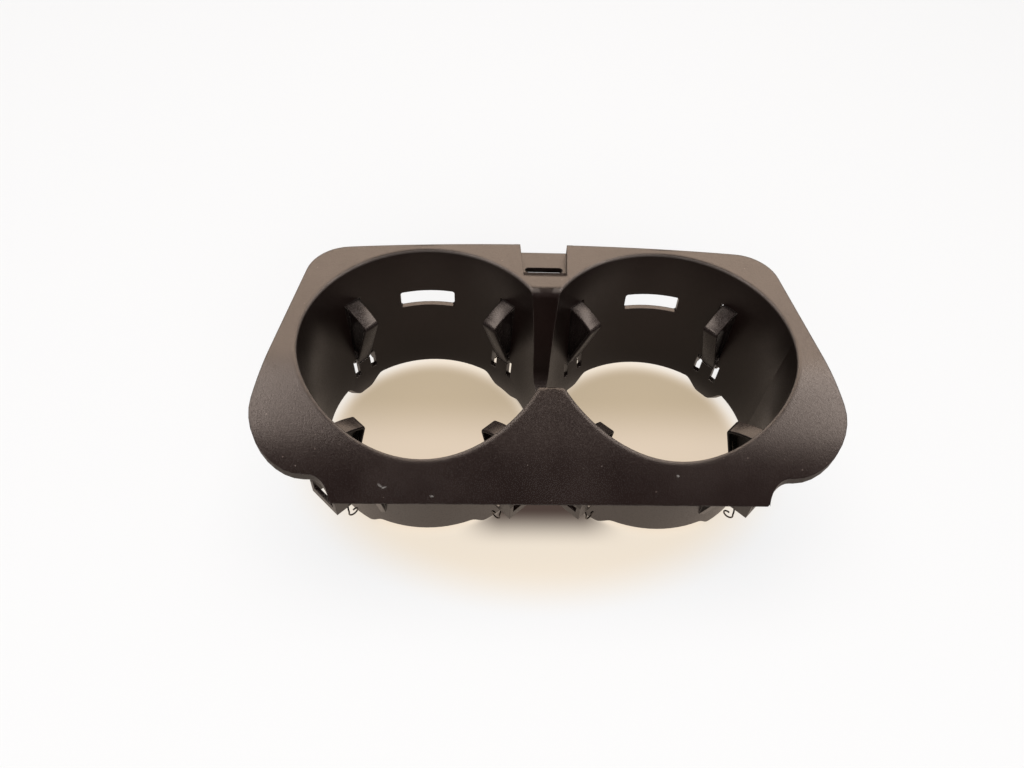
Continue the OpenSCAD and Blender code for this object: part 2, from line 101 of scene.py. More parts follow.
class FingerSizes(bpy.types.PropertyGroup):
    """Sizes of a sprung finger, measured from the middle of its pivot."""

    width: FloatProperty(
        name="Width", description="Width of a finger", default=0.006, unit="LENGTH"
    )
    heel_in: FloatProperty(
        name="Heel reach", description="How far the heel lies inside the pivot",
        default=0.00446, unit="LENGTH",
    )
    heel_up: FloatProperty(
        name="Heel height", description="Height of the heel above the pivot",
        default=0.001, unit="LENGTH",
    )
    tip_in: FloatProperty(
        name="Tip reach", description="How far the tip lies inside the pivot",
        default=0.01362, unit="LENGTH",
    )
    tip_up: FloatProperty(
        name="Tip height", description="Height of the tip above the pivot",
        default=0.0269, unit="LENGTH",
    )
    tip_round: FloatProperty(
        name="Tip radius", description="Radius of the tip", default=0.0018, unit="LENGTH"
    )
    top_out: FloatProperty(
        name="Top reach", description="How far the top edge stands out past the pivot",
        default=0.0002, unit="LENGTH",
    )
    top_up: FloatProperty(
        name="Top height", description="Height of the top edge above the pivot",
        default=0.0314, unit="LENGTH",
    )
    bulge: FloatProperty(
        name="Top bulge", description="How far the top bulges over a straight line",
        default=0.0008, unit="LENGTH",
    )
    hub: FloatProperty(
        name="Hub radius", description="Radius of the hub", default=0.0022, unit="LENGTH"
    )
    bore: FloatProperty(
        name="Bore radius", description="Radius of the bore for the pin",
        default=0.00126, unit="LENGTH",
    )
    skin: FloatProperty(
        name="Skin", description="Thickness left round the side recesses",
        default=0.0012, unit="LENGTH",
    )
    web: FloatProperty(
        name="Web", description="Thickness of the web between the side recesses",
        default=0.002, unit="LENGTH",
    )
    stop_side: FloatProperty(
        name="Stop width", description="How far a stop stands out at each side",
        default=0.0015, unit="LENGTH",
    )
    stop_in: FloatProperty(
        name="Stop place", description="How far the stops' face lies inside the pivot",
        default=0.00074, unit="LENGTH",
    )
    stop_thick: FloatProperty(
        name="Stop thickness", description="Thickness of a stop", default=0.0014, unit="LENGTH"
    )
    stop_low: FloatProperty(
        name="Stop height", description="Height of a stop's lower end above the pivot",
        default=0.0175, unit="LENGTH",
    )
    stop_tall: FloatProperty(
        name="Stop length", description="Length of a stop", default=0.006, unit="LENGTH"
    )
    edge: FloatProperty(
        name="Edge radius", description="Radius of a finger's edges", default=0.00042, unit="LENGTH"
    )


class SpringSizes(bpy.types.PropertyGroup):
    """Sizes of a torsion spring and of the pin that carries it."""

    wire: FloatProperty(
        name="Wire", description="Diameter of the wire", default=0.0006, unit="LENGTH"
    )
    coil: FloatProperty(
        name="Coil radius", description="Radius of the coil to the middle of the wire",
        default=0.002, unit="LENGTH",
    )
    coil_near: FloatProperty(
        name="Coil start", description="Distance from the finger's middle to the first turn",
        default=0.0034, unit="LENGTH",
    )
    coil_far: FloatProperty(
        name="Coil end", description="Distance from the finger's middle to the last turn",
        default=0.0049, unit="LENGTH",
    )
    leg: FloatProperty(
        name="Leg length", description="Length of the leg that pushes the finger",
        default=0.025, unit="LENGTH",
    )
    leg_near: FloatProperty(
        name="Leg place", description="Distance from the finger's middle to the leg",
        default=0.0023, unit="LENGTH",
    )
    eye: FloatProperty(
        name="Eye radius", description="Radius of the eye under the cheek",
        default=0.0017, unit="LENGTH",
    )
    pin: FloatProperty(
        name="Pin radius", description="Radius of a pivot pin", default=0.0012, unit="LENGTH"
    )
    pin_round: FloatProperty(
        name="Pin chamfer", description="Width of the round at a pin's ends",
        default=0.00025, unit="LENGTH",
    )


def colour_property(name, description, default):
    return FloatVectorProperty(
        name=name, description=description, default=default, subtype="COLOR", size=3, min=0, max=1
    )


class HolderFinish(bpy.types.PropertyGroup):
    """Colours and surface detail of the moulding, the fingers and the steel."""

    moulding: colour_property("Moulding", "Colour of the moulding", (0.0038, 0.0014, 0.0012))
    moulding_pale: colour_property(
        "Moulding, pale", "Colour where the moulding has faded", (0.0075, 0.0036, 0.0031)
    )
    # Paler edges: wear from rubbing, and a painted highlight
    rubbed_and_highlight: colour_property(
        "Rubbed edge", "Colour of the moulding's rubbed edges", (0.075, 0.064, 0.058)
    )
    # Painted highlight on the rounded crest of each cup's rim
    rim_highlight_tone: colour_property("Rim", "Colour of the rounded rims of the cups", (0.05, 0.042, 0.038))
    scuffed: colour_property("Scuff", "Colour of the scuffs", (0.26, 0.25, 0.235))
    dust: colour_property("Dust", "Colour of the dust that has settled", (0.20, 0.155, 0.135))
    finger: colour_property("Finger", "Colour of the fingers", (0.0066, 0.0042, 0.0038))
    # Worn finger tops, lighter also as a painted highlight
    finger_worn_and_highlight: colour_property(
        "Finger, worn", "Colour of the fingers' worn tops", (0.045, 0.038, 0.036)
    )
    steel: colour_property("Steel", "Colour of the pins", (0.46, 0.44, 0.42))
    spring: colour_property("Spring steel", "Colour of the springs", (0.13, 0.12, 0.11))
    grain: FloatProperty(
        name="Grain", description="Size of the moulding's grain", default=0.00055, unit="LENGTH"
    )
    grain_depth: FloatProperty(
        name="Grain depth", description="Depth of the moulding's grain",
        default=0.00004, unit="LENGTH",
    )
    edge: FloatProperty(
        name="Edge radius", description="Radius of the moulding's small edges",
        default=0.00045, unit="LENGTH",
    )
    rim: FloatProperty(
        name="Rim radius", description="Radius of the rims of the cups",
        default=0.0018, unit="LENGTH",
    )


class StageLook(bpy.types.PropertyGroup):
    """The floor and the light."""

    floor: colour_property("Floor", "Colour of the floor", (0.98, 0.98, 0.985))
    # Painted warm shade on the floor close to the holder
    floor_near_painted_shade: colour_property(
        "Floor, near", "Colour of the floor close to the holder", (0.98, 0.87, 0.73)
    )
    # Painted shade on the floor inside the cups
    floor_cup_painted_shade: colour_property("Floor, cups", "Colour of the floor in the cups", (0.82, 0.68, 0.53))
    # Painted shadow on the floor in the strip between the cups
    floor_between_painted_shadow: colour_property(
        "Floor, between", "Colour of the floor between the cups", (0.09, 0.062, 0.052)
    )
    # Colour of the painted glow that the floor gives only to reflections
    floor_sheen: colour_property(
        "Floor, sheen", "Colour of the floor in reflections", (1.0, 0.82, 0.68)
    )
    # Painted shadow on the floor at the back of the cups
    floor_deep_painted_shadow: colour_property(
        "Floor, deep", "Colour of the floor at the back of the cups", (0.62, 0.5, 0.35)
    )
    floor_glow: FloatProperty(
        name="Floor glow", description="How far the floor is lifted towards white", default=0.795
    )
    back_light: FloatProperty(
        name="Back light", description="Power of the large light behind", default=6.6
    )
    top_light: FloatProperty(
        name="Top light", description="Power of the light overhead", default=11.5
    )
    left_light: FloatProperty(
        name="Left light", description="Power of the light high at the left", default=4.0
    )
    right_light: FloatProperty(
        name="Right light", description="Power of the light high at the right", default=4.5
    )
    front_light: FloatProperty(
        name="Front light", description="Power of the light that fills the front", default=13.0
    )


def settings():
    return bpy.context.scene.cup_holder


# Mesh helpers


def leave_edit_mode():
    if bpy.context.mode != "OBJECT":
        bpy.ops.object.mode_set(mode="OBJECT")


def select_only(obj):
    """Makes obj the only selected object, and the active one."""
    leave_edit_mode()
    bpy.ops.object.select_all(action="DESELECT")
    obj.select_set(True)
    bpy.context.view_layer.objects.active = obj


def select_faces(obj, keep):
    """In edit mode, selects the faces of obj for which keep(face) is true."""
    mesh = bmesh.from_edit_mesh(obj.data)
    mesh.select_mode = {"FACE"}
    for face in mesh.faces:
        face.select = keep(face)
    mesh.select_flush_mode()
    bmesh.update_edit_mesh(obj.data)


def modifier(obj, kind, **values):
    """Adds a modifier with these values and applies it."""
    select_only(obj)
    made = obj.modifiers.new(kind.title(), kind)
    for key, value in values.items():
        setattr(made, key, value)
    bpy.ops.object.modifier_apply(modifier=made.name)


def smooth(obj, degrees=35):
    select_only(obj)
    bpy.ops.object.shade_smooth_by_angle(angle=math.radians(degrees))


def set_place(obj, matrix):
    """Puts the place into the mesh, so that the object stays at the origin."""
    obj.data.transform(matrix)
    if matrix.determinant() < 0:
        obj.data.flip_normals()
    obj.data.update()


def copy_of(obj, name):
    made = obj.copy()
    made.data = obj.data.copy()
    made.name = made.data.name = name
    bpy.context.scene.collection.objects.link(made)
    return made


def drop(obj):
    data = obj.data
    bpy.data.objects.remove(obj)
    bpy.data.meshes.remove(data)


def join(target, *others):
    select_only(target)
    for other in others:
        other.select_set(True)
    bpy.ops.object.join()
    return target


def paint(obj, material):
    obj.data.materials.clear()
    obj.data.materials.append(material)


def arc(centre, radius, start, end, steps):
    """Points of an arc in the plane, with its angles in degrees."""
    turns = [math.radians(start + (end - start) * i / steps) for i in range(steps + 1)]
    return [Vector((centre[0] + radius * math.cos(t), centre[1] + radius * math.sin(t))) for t in turns]


def rounded_corner(before, corner, after, radius, steps):
    """The corner of an outline, rounded."""
    u, v = (before - corner).normalized(), (after - corner).normalized()
    half = u.angle(v) / 2
    centre = corner + (u + v).normalized() * radius / math.sin(half)
    first = corner + u * radius / math.tan(half) - centre
    last = corner + v * radius / math.tan(half) - centre
    start = math.degrees(math.atan2(first.y, first.x))
    turn = (math.degrees(math.atan2(last.y, last.x)) - start + 180) % 360 - 180
    return arc(centre, radius, start, start + turn, steps)


def bulged_line(a, b, rise, steps):
    """Points on a shallow arc from a to b that stands out by rise, to the left of the way."""
    left = Vector((a.y - b.y, b.x - a.x)).normalized()
    return [
        a.lerp(b, i / steps) + left * rise * 4 * (i / steps) * (1 - i / steps) for i in range(steps + 1)
    ]


WIRE_END = 0.45


def wire_piece(name, points, diameter, sides=4):
    """A round wire with narrowed ends along these points, as a mesh."""
    curve = bpy.data.curves.new(name, "CURVE")
    curve.dimensions = "3D"
    curve.bevel_depth = diameter / 2
    curve.bevel_resolution = sides
    curve.use_fill_caps = True
    spline = curve.splines.new("POLY")
    spline.points.add(len(points) - 1)
    for spot, point in zip(spline.points, points):
        spot.co = (*point, 1)
    for end in (0, -1):
        spline.points[end].radius = WIRE_END
    obj = bpy.data.objects.new(name, curve)
    bpy.context.scene.collection.objects.link(obj)
    select_only(obj)
    bpy.ops.object.convert(target="MESH")
    made = bpy.context.view_layer.objects.active
    made.name = made.data.name = name
    return made


def smoothed(points, rounds=2):
    """A path with its corners cut, its ends kept."""
    for _ in range(rounds):
        cut = [points[0]]
        for a, b in zip(points, points[1:]):
            cut += [a.lerp(b, 0.25), a.lerp(b, 0.75)]
        points = cut + [points[-1]]
    return points


# Material helpers


class Nodes:
    """Adds nodes to a tree and links them in one call each."""

    STEP = (190, -220)
    ROWS = 3

    def __init__(self, tree):
        self.tree = tree
        self.column = 0

    def feed(self, socket, value):
        """Links a value that is itself a socket, and sets any other."""
        if isinstance(value, bpy.types.NodeSocket):
            self.tree.links.new(value, socket)
        else:
            socket.default_value = value

    def add(self, kind, properties=None, **inputs):
        """A node with its properties and sockets set. An input called _2 is its third socket."""
        node = self.tree.nodes.new(kind)
        self.column += 1
        node.location = (self.column * self.STEP[0], self.column % self.ROWS * self.STEP[1])
        for key, value in (properties or {}).items():
            setattr(node, key, value)
        for key, value in inputs.items():
            self.feed(node.inputs[int(key[1:]) if key[0] == "_" else key.replace("_", " ")], value)
        return node

    def math(self, operation, a, b=0.0):
        return self.add("ShaderNodeMath", {"operation": operation}, _0=a, _1=b).outputs[0]

    def times(self, a, b):
        return self.math("MULTIPLY", a, b)

    def plus(self, a, b):
        return self.math("ADD", a, b)

    def span(self, value, low, high, to_low=0.0, to_high=1.0):
        """Maps value from low..high to to_low..to_high, held at its ends and eased."""
        return self.add(
            "ShaderNodeMapRange", {"interpolation_type": "SMOOTHSTEP"},
            _0=value, _1=low, _2=high, _3=to_low, _4=to_high,
        ).outputs[0]

    def mix(self, share, a, b, blend="MIX"):
        return self.add(
            "ShaderNodeMix", {"data_type": "RGBA", "blend_type": blend}, _0=share, _6=a, _7=b
        ).outputs[2]

    def noise(self, vector, scale, detail, rough):
        return self.add(
            "ShaderNodeTexNoise", None, Vector=vector, Scale=scale, Detail=detail, Roughness=rough
        ).outputs[0]

    def vector(self, operation, a, b=(0, 0, 0)):
        return self.add("ShaderNodeVectorMath", {"operation": operation}, _0=a, _1=b)

    def split(self, vector):
        """The parts X, Y and Z of a vector."""
        return self.add("ShaderNodeSeparateXYZ", None, Vector=vector).outputs

    def cup_distance(self, split, axis):
        """Level distance from the axis of the nearer cup. The axis given is the right cup's."""
        folded = self.add("ShaderNodeCombineXYZ", None, X=self.math("ABSOLUTE", split["X"]), Y=split["Y"])
        return self.vector("DISTANCE", folded.outputs[0], axis).outputs["Value"]


def node_group(name, inputs, outputs):
    """A new shader node group with these sockets, its node maker, and its input and output nodes."""
    tree = bpy.data.node_groups.new(name, "ShaderNodeTree")
    for label, kind, default in inputs:
        socket = tree.interface.new_socket(label, in_out="INPUT", socket_type=kind)
        if default is not None:
            socket.default_value = default
    for label, kind in outputs:
        tree.interface.new_socket(label, in_out="OUTPUT", socket_type=kind)
    nodes = Nodes(tree)
    return tree, nodes, nodes.add("NodeGroupInput"), nodes.add("NodeGroupOutput")


def link_outputs(tree, group_out, **values):
    for key, value in values.items():
        tree.links.new(value, group_out.inputs[key])


# The grain: how much finer its noise is than its pebbles, the height of each, and where its tone fades
GRAIN_FINER = 1.9
PEBBLE_HEIGHT, NOISE_HEIGHT = 0.55, 0.6
GRAIN_TONE = (0.3, 0.85)


def grain_group():
    """Fine leathery grain of a spark-eroded mould: a height and a tone."""
    tree, n, given, out = node_group(
        "Moulded grain",
        [("Vector", "NodeSocketVector", None), ("Size", "NodeSocketFloat", 0.0005)],
        [("Height", "NodeSocketFloat"), ("Tone", "NodeSocketFloat")],
    )
    place = given.outputs["Vector"]
    scale = n.math("DIVIDE", 1.0, given.outputs["Size"])
    pebbles = n.add("ShaderNodeTexVoronoi", {"feature": "SMOOTH_F1"}, Vector=place, Scale=scale)
    fine = n.noise(place, n.times(scale, GRAIN_FINER), detail=4.0, rough=0.6)
    height = n.plus(n.times(pebbles.outputs["Distance"], PEBBLE_HEIGHT), n.times(fine, NOISE_HEIGHT))
    link_outputs(tree, out, Height=height, Tone=n.span(height, *GRAIN_TONE))
    return tree


# How far a rounded edge turns from its face before it is painted paler, as wear from rubbing and as a
# painted highlight, and how patchy that is
EDGE_TURN = (0.995, 0.86)
EDGE_PATCHES = (0.38, 0.66)


def rounded_group():
    """Normal with its edges rounded, and a mask of the edges that are paler from rubbing and from a
    painted highlight.
    """
    tree, n, given, out = node_group(
        "Rounded and rubbed edges",
        [("Vector", "NodeSocketVector", None), ("Radius", "NodeSocketFloat", 0.0004)],
        [("Normal", "NodeSocketVector"), ("Rubbed", "NodeSocketFloat")],
    )
    soft = n.add("ShaderNodeBevel", {"samples": 6}, Radius=given.outputs["Radius"]).outputs[0]
    true = n.add("ShaderNodeNewGeometry").outputs["True Normal"]
    edge = n.span(n.vector("DOT_PRODUCT", soft, true).outputs["Value"], *EDGE_TURN)
    patchy = n.noise(given.outputs["Vector"], scale=160.0, detail=4.0, rough=0.65)
    link_outputs(tree, out, Normal=soft, Rubbed=n.times(edge, n.span(patchy, *EDGE_PATCHES)))
    return tree


# Dust: how level a face has to be, where the film thins out, and how many, large and rare its specks are
DUST_LEVEL = (0.15, 0.85)
DUST_FILM = (0.35, 0.75)
SPECK_SCALE = 520.0
SPECK_SIZE = (0.16, 0.07)
SPECK_RARE = 0.93


def dust_group():
    """Dust that has settled on faces that look up, in soft patches and loose specks."""
    tree, n, given, out = node_group(
        "Settled dust",
        [("Vector", "NodeSocketVector", None), ("Normal", "NodeSocketVector", None)],
        [("Film", "NodeSocketFloat"), ("Specks", "NodeSocketFloat")],
    )
    place = given.outputs["Vector"]
    facing = n.span(n.split(given.outputs["Normal"])["Z"], *DUST_LEVEL)
    clouds = n.span(n.noise(place, scale=38.0, detail=5.0, rough=0.6), *DUST_FILM)
    specks = n.add("ShaderNodeTexVoronoi", None, Vector=place, Scale=SPECK_SCALE)
    near = n.span(specks.outputs["Distance"], *SPECK_SIZE)
    some = n.math("GREATER_THAN", n.split(specks.outputs["Color"])["X"], SPECK_RARE)
    link_outputs(tree, out, Film=n.times(facing, clouds), Specks=n.times(n.times(near, some), facing))
    return tree


# Where the rim's band and crest fade: beside the wall, and below the top of the plate
BAND_BESIDE = (0.0032, 0.0022)
BAND_BELOW = (0.0046, 0.003)
CREST_TOP = (0.00006, 0.0002)
CREST_FOOT = (0.0012, 0.0006)


def rim_group():
    """Masks, by the place on the moulding, of the band round each cup's mouth and of its rounded crest,
    where a highlight is painted.
    """
    tree, n, given, out = node_group(
        "Cup rim",
        [("Vector", "NodeSocketVector", None)],
        [("Band", "NodeSocketFloat"), ("Crest", "NodeSocketFloat")],
    )
    split = n.split(given.outputs["Vector"])
    wall = n.plus(n.times(split["Z"], CUP_TAPER), CUP_FOOT_RADIUS)
    ahead = n.math("MINIMUM", n.plus(split["Y"], -BEND_CENTRE_Y), 0.0)
    bend = n.math("SQRT", n.math("SUBTRACT", BEND_RADIUS ** 2, n.times(ahead, ahead)))
    depth = n.math("SUBTRACT", n.plus(bend, BEND_CENTRE_Z), split["Z"])
    off_wall = n.math("ABSOLUTE", n.math("SUBTRACT", n.cup_distance(split, CUP_AXIS), wall))
    beside = n.span(off_wall, *BAND_BESIDE)
    crest = n.times(n.span(depth, *CREST_TOP), n.span(depth, *CREST_FOOT))
    link_outputs(tree, out, Band=n.times(beside, n.span(depth, *BAND_BELOW)), Crest=n.times(crest, beside))
    return tree


SCUFF_RAGGED = 1.6
SCUFF_FADE = (1.35, 0.75)


def scuff_group():
    """One scuff: a broken patch round a spot, long one way."""
    tree, n, given, out = node_group(
        "Scuff",
        [("Vector", "NodeSocketVector", None), ("Place", "NodeSocketVector", None),
         ("Length", "NodeSocketFloat", 0.003), ("Breadth", "NodeSocketFloat", 0.001),
         ("Turn", "NodeSocketFloat", 0.0)],
        [("Mask", "NodeSocketFloat")],
    )
    off = n.vector("SUBTRACT", given.outputs["Vector"], given.outputs["Place"]).outputs["Vector"]
    turned = n.add(
        "ShaderNodeVectorRotate", {"rotation_type": "Z_AXIS"}, Vector=off, Angle=given.outputs["Turn"]
    )
    split = n.split(turned.outputs[0])
    along = n.math("DIVIDE", split["X"], given.outputs["Length"])
    across = n.math("DIVIDE", split["Y"], given.outputs["Breadth"])
    deep = n.math("DIVIDE", split["Z"], given.outputs["Length"])
    square = n.plus(n.plus(n.times(along, along), n.times(across, across)), n.times(deep, deep))
    ragged = n.noise(given.outputs["Vector"], scale=1500.0, detail=4.0, rough=0.7)
    edge = n.plus(square, n.times(ragged, SCUFF_RAGGED))
    link_outputs(tree, out, Mask=n.span(edge, *SCUFF_FADE))
    return tree


def group_node(n, tree, **inputs):
    return n.add("ShaderNodeGroup", {"node_tree": tree}, **inputs)


# Each scuff's middle, length and breadth in metres, and its turn in radians
SCUFFS = (
    ((-0.0531, -0.0452, 0.0444), 0.0016, 0.0005, 0.5),
    ((-0.0519, -0.0456, 0.0440), 0.0014, 0.0003, -0.3),
    ((-0.0372, -0.0474, 0.0422), 0.0012, 0.0004, 0.1),
    ((0.0393, -0.0424, 0.0470), 0.0008, 0.0006, 0.2),
)


def new_material(name):
    material = bpy.data.materials.new(name)
    material.use_nodes = True
    shader = material.node_tree.nodes["Principled BSDF"]
    return material, Nodes(material.node_tree), shader


def rgba(colour):
    return (*colour, 1.0)


def grey(value):
    return (value, value, value, 1.0)


def layered(n, tone, layers):
    """Lays colours over a tone. Each layer is a mask, its greatest share, and its colour."""
    for mask, share, colour in layers:
        tone = n.mix(n.times(mask, share), tone, rgba(colour))
    return tone


def set_shader(n, shader, **values):
    """Feeds the shader's sockets, named with a low line for each space."""
    for key, value in values.items():
        n.feed(shader.inputs[key.replace("_", " ")], value)


# The moulding: which faces count as plate, where its faded clouds lie, and its roughness and bump
PLATE_LEVEL = (0.25, 0.6)
CLOUD_FADE = (0.3, 0.7)
CLOUD_ROUGH = 0.35
MOULDING_ROUGH = (0.29, 0.43)
CUP_GRAIN = 0.25


def moulding_material(groups, finish):
    """Black moulding, grained on the plate, smoother in the cups, with edges paler from rubbing and a
    painted highlight, a painted highlight on each rim's crest, scuffs and dust.
    """
    material, n, shader = new_material("Moulded plastic")
    place = n.add("ShaderNodeTexCoord").outputs["Object"]
    rim = group_node(n, groups["rim"], Vector=place)
    radius = n.span(rim.outputs["Band"], 0.0, 1.0, finish.edge, finish.rim)
    edges = group_node(n, groups["edges"], Vector=place, Radius=radius)
    grain = group_node(n, groups["grain"], Vector=place, Size=finish.grain)
    dust = group_node(n, groups["dust"], Vector=place, Normal=edges.outputs["Normal"])
    plate = n.span(n.split(edges.outputs["Normal"])["Z"], *PLATE_LEVEL)
    clouds = n.span(n.noise(place, scale=22.0, detail=4.0, rough=0.55), *CLOUD_FADE)
    layers = [
        (clouds, 0.6, finish.moulding_pale),
        (n.times(grain.outputs["Tone"], plate), 0.55, finish.moulding_pale),
        (dust.outputs["Film"], 0.03, finish.dust),
        (dust.outputs["Specks"], 0.35, finish.dust),
        # Edges paler from rubbing and as a painted highlight
        (edges.outputs["Rubbed"], 0.75, finish.rubbed_and_highlight),
        # Painted highlight on the crest of each cup's rim
        (rim.outputs["Crest"], 0.8, finish.rim_highlight_tone),
    ]
    for spot, length, breadth, turn in SCUFFS:
        scuff = group_node(
            n, groups["scuff"], Vector=place, Place=spot, Length=length, Breadth=breadth, Turn=turn
        )
        layers.append((scuff.outputs["Mask"], 0.32, finish.scuffed))
    uneven = n.plus(grain.outputs["Tone"], n.times(clouds, CLOUD_ROUGH))
    depth = n.span(plate, 0.0, 1.0, CUP_GRAIN, 1.0)
    bump = n.add(
        "ShaderNodeBump", None, Strength=1.0, Distance=finish.grain_depth,
        Height=n.times(grain.outputs["Height"], depth), Normal=edges.outputs["Normal"],
    )
    set_shader(
        n, shader, Base_Color=layered(n, rgba(finish.moulding), layers),
        Roughness=n.span(uneven, 0.0, 1 + CLOUD_ROUGH, *MOULDING_ROUGH), Normal=bump.outputs[0],
        Specular_IOR_Level=0.95,
    )
    return material


# The fingers: their edges and grain in metres, how long the strokes of wear are, and where wear and a
# painted highlight show on the tops
FINGER_EDGE = 0.00015
FINGER_GRAIN = 0.0004
STROKE_SHORTER = (1.0, 1.0, 0.09)
STROKE_FADE = (0.42, 0.72)
TOP_LEVEL = (0.2, 0.55)
FINGER_ROUGH = (0.24, 0.42)


def finger_material(groups, finish):
    """Satin black plastic with fine lengthwise rubbing from the cups that have slid past, tops lighter as
    wear and as a painted highlight, edges paler from rubbing and a painted highlight.
    """
    material, n, shader = new_material("Finger plastic")
    place = n.add("ShaderNodeTexCoord").outputs["Object"]
    edges = group_node(n, groups["edges"], Vector=place, Radius=FINGER_EDGE)
    grain = group_node(n, groups["grain"], Vector=place, Size=FINGER_GRAIN)
    dust = group_node(n, groups["dust"], Vector=place, Normal=edges.outputs["Normal"])
    stretch = n.add("ShaderNodeMapping", None, Vector=place, Scale=STROKE_SHORTER)
    strokes = n.noise(stretch.outputs[0], scale=2600.0, detail=4.0, rough=0.7)
    top = n.span(n.split(edges.outputs["Normal"])["Z"], *TOP_LEVEL)
    layers = [
        # Worn tops, lighter also as a painted highlight on faces that look up
        (n.span(strokes, *STROKE_FADE), n.times(top, 0.75), finish.finger_worn_and_highlight),
        (grain.outputs["Tone"], 0.08, finish.finger_worn_and_highlight),
        (dust.outputs["Film"], 0.05, finish.dust),
        # Edges paler from rubbing and as a painted highlight
        (edges.outputs["Rubbed"], 0.6, finish.rubbed_and_highlight),
    ]
    bump = n.add(
        "ShaderNodeBump", None, Strength=0.35, Distance=0.00003, Height=strokes,
        Normal=edges.outputs["Normal"],
    )
    set_shader(
        n, shader, Base_Color=layered(n, rgba(finish.finger), layers),
        Roughness=n.span(strokes, 0.3, 0.75, *FINGER_ROUGH), Normal=bump.outputs[0],
        Specular_IOR_Level=0.6,
    )
    return material


# The steel: its streaks in metres, where its stains lie, how dark they are, and its roughness
STEEL_GRAIN = 0.00022
STAIN_FADE = (0.42, 0.7)
STAIN_DARK = 0.45
STREAK_ROUGH = 0.5
STEEL_ROUGH = (0.24, 0.48)


def steel_material(groups, name, colour, stain):
    """Drawn steel with fine streaks and a few darker stains."""
    material, n, shader = new_material(name)
    place = n.add("ShaderNodeTexCoord").outputs["Object"]
    grain = group_node(n, groups["grain"], Vector=place, Size=STEEL_GRAIN)
    blotch = n.span(n.noise(place, scale=420.0, detail=4.0, rough=0.6), *STAIN_FADE)
    dark = tuple(c * STAIN_DARK for c in colour)
    uneven = n.plus(blotch, n.times(grain.outputs["Tone"], STREAK_ROUGH))
    bump = n.add(
        "ShaderNodeBump", None, Strength=0.2, Distance=0.00001, Height=grain.outputs["Height"]
    )
    set_shader(
        n, shader, Base_Color=layered(n, rgba(colour), [(blotch, stain, dark)]),
        Roughness=n.span(uneven, 0.0, 1 + STREAK_ROUGH, *STEEL_ROUGH), Normal=bump.outputs[0],
        Metallic=1.0,
    )
    return material


_materials = {}


def materials():
    """Every material of the holder, made once."""
    if not _materials:
        finish = settings().finish
        groups = {
            "grain": grain_group(),
            "edges": rounded_group(),
            "dust": dust_group(),
            "rim": rim_group(),
            "scuff": scuff_group(),
        }
        _materials["moulding"] = moulding_material(groups, finish)
        _materials["finger"] = finger_material(groups, finish)
        _materials["pin"] = steel_material(groups, "Pin steel", tuple(finish.steel), 0.35)
        _materials["spring"] = steel_material(groups, "Spring steel", tuple(finish.spring), 0.6)
    return _materials


# Fingers

# Steps along each curve of the profile, and sides of the drill for the pin
NOSE_STEPS, TOP_STEPS, HUB_STEPS = 8, 10, 16
DRILL_SIDES = 48
# How far the heel stands out past the hub, and how squarely a face has to look along an axis
HEEL_PAST_HUB = 0.1 * MM
SQUARELY = 0.9
# How a stop narrows towards the back
STOP_TAPER = (1, 0.86, 0.8)
FINGER_BEVEL = {"segments": 3, "limit_method": "ANGLE", "angle_limit": math.radians(32)}


def finger_body(sizes):
    """The finger's profile, extruded to its width, with a recess in each side."""
    heel = Vector((-sizes.heel_in, sizes.heel_up))
    tip = Vector((-sizes.tip_in, sizes.tip_up))
    top = Vector((sizes.top_out, sizes.top_up))
    rear = Vector((sizes.hub, 0))
    waist = sizes.hub + sizes.skin / 2
    left = heel.lerp(tip, (waist - heel.y) / (tip.y - heel.y))
    right = rear.lerp(top, waist / top.y)
    nose = rounded_corner(heel, tip, top, sizes.tip_round, NOSE_STEPS)
    upper = [left, *nose, *bulged_line(nose[-1], top, sizes.bulge, TOP_STEPS)[1:], right]
    foot = arc((0, 0), sizes.hub, 0, -180, HUB_STEPS)
    under_heel = Vector((-sizes.hub + HEEL_PAST_HUB, sizes.heel_up))
    lower = [right, rear, *foot[1:], under_heel, heel, left]
    points = upper + lower[1:-1]
    half = sizes.width / 2
    mesh = bpy.data.meshes.new("finger_blank")
    last = len(upper) - 1
    low = [last, *range(len(upper), len(points)), 0]
    mesh.from_pydata([(p.x, -half, p.y) for p in points], [], [list(range(len(upper))), low])
    body = bpy.data.objects.new("finger_blank", mesh)
    bpy.context.scene.collection.objects.link(body)
    select_only(body)
    bpy.ops.object.mode_set(mode="EDIT")
    bpy.ops.mesh.select_all(action="SELECT")
    bpy.ops.mesh.extrude_region_move(TRANSFORM_OT_translate={"value": (0, sizes.width, 0)})
    bpy.ops.mesh.select_all(action="SELECT")
    bpy.ops.mesh.normals_make_consistent(inside=False)
    depth = (sizes.width - sizes.web) / 2
    for way in (-1, 1):
        select_faces(body, lambda f: f.normal.y * way > SQUARELY and f.calc_center_median().z > waist)
        bpy.ops.mesh.inset(thickness=sizes.skin, use_even_offset=True)
        bpy.ops.mesh.extrude_region_move(TRANSFORM_OT_translate={"value": (0, -way * depth, 0)})
    bpy.ops.object.mode_set(mode="OBJECT")
    return body


def finger_stop(sizes):
    """The bar whose two ends keep the finger behind the cup's wall."""
    size = (sizes.stop_thick, sizes.width + 2 * sizes.stop_side, sizes.stop_tall)
    middle = (-sizes.stop_in + sizes.stop_thick / 2, 0, sizes.stop_low + sizes.stop_tall / 2)
    bpy.ops.object.select_all(action="DESELECT")
    bpy.ops.mesh.primitive_cube_add(size=1, location=middle, scale=size)
    stop = bpy.context.active_object
    bpy.ops.object.transform_apply(location=True, rotation=False, scale=True)
    bpy.ops.object.mode_set(mode="EDIT")
    select_faces(stop, lambda f: f.normal.x > SQUARELY)
    bpy.ops.transform.resize(value=STOP_TAPER, center_override=middle)
    bpy.ops.object.mode_set(mode="OBJECT")
    return stop


